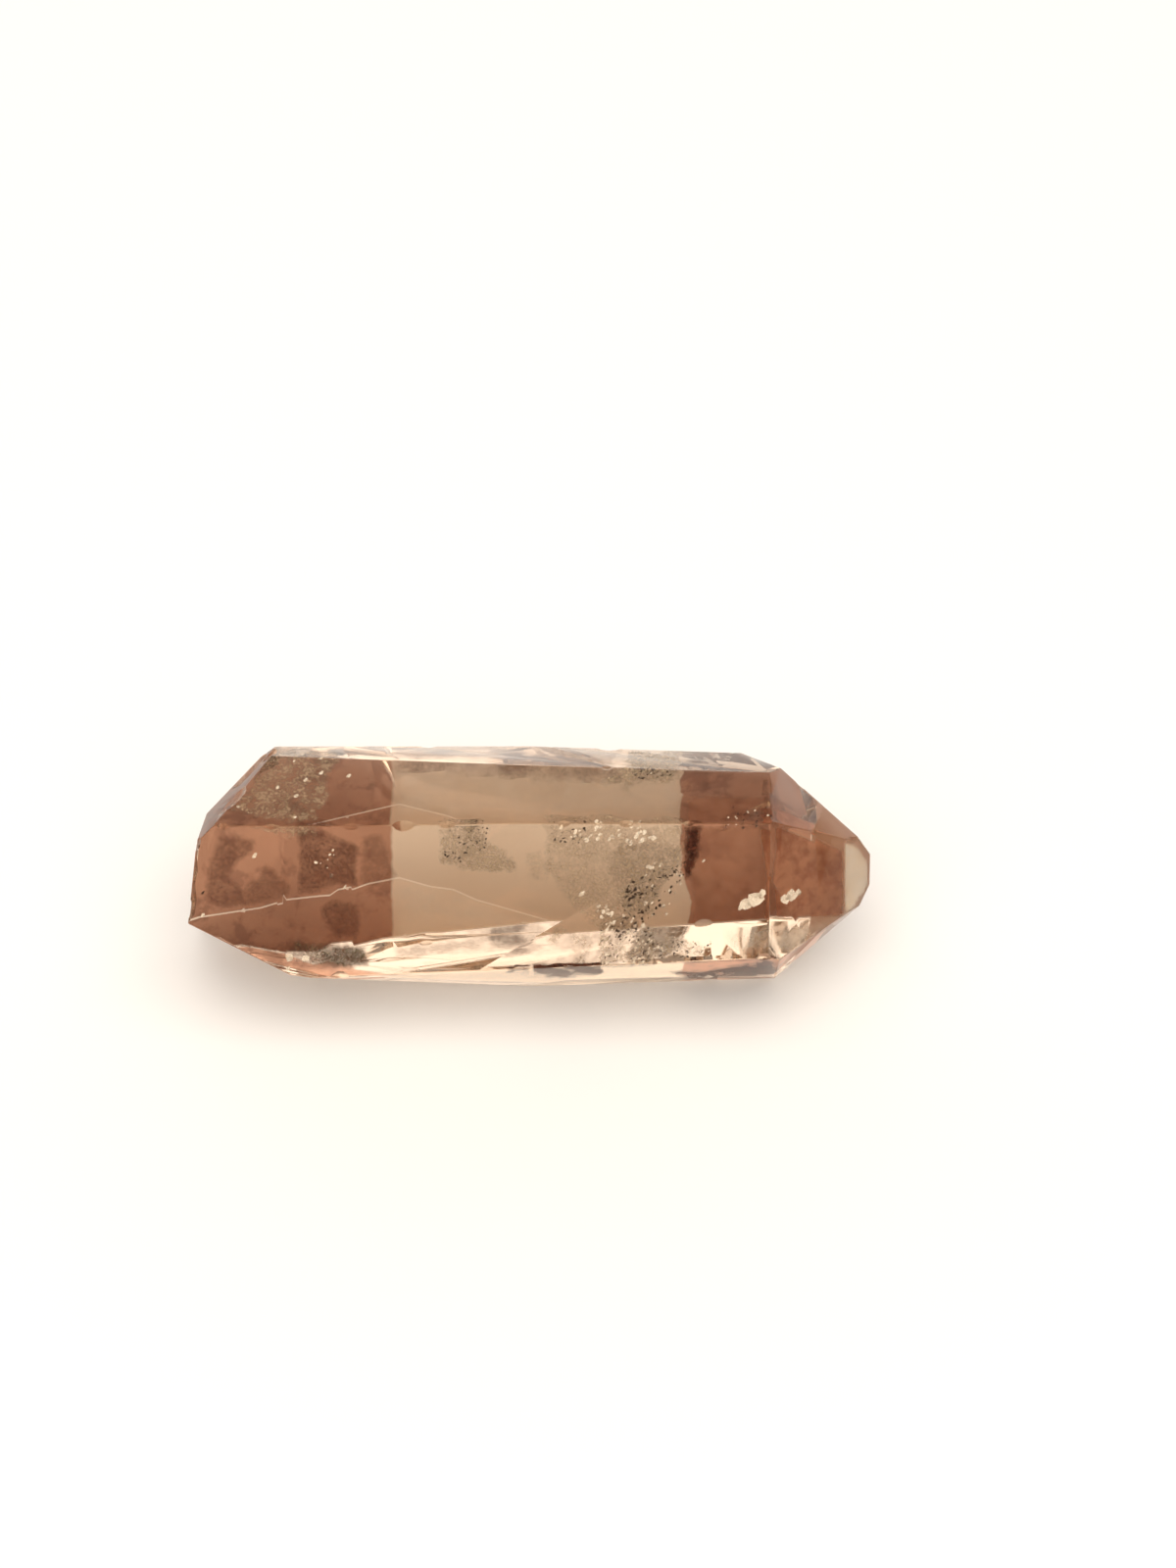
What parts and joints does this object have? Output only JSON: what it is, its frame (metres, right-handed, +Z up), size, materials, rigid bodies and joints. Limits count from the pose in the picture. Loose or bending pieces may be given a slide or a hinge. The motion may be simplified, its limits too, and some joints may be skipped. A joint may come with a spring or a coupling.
{
  "type": "smoky quartz crystal",
  "caption": "Clear reddish brown smoky quartz crystal: a long six-sided prism with a point at one end and a blunt broken end, lying on one of its long faces.",
  "frame": {"origin": "middle of the crystal's footprint, on the surface it lies on", "axes": "+X along the crystal's long axis towards its point, +Y to the side away from the picture's camera, +Z up"},
  "size_m": [0.0696, 0.0244, 0.0205],
  "materials": {
    "smoky_quartz": "polished"
  },
  "bodies": {
    "root": {"quartz_crystal": "smoky_quartz"}
  },
  "joints": []
}
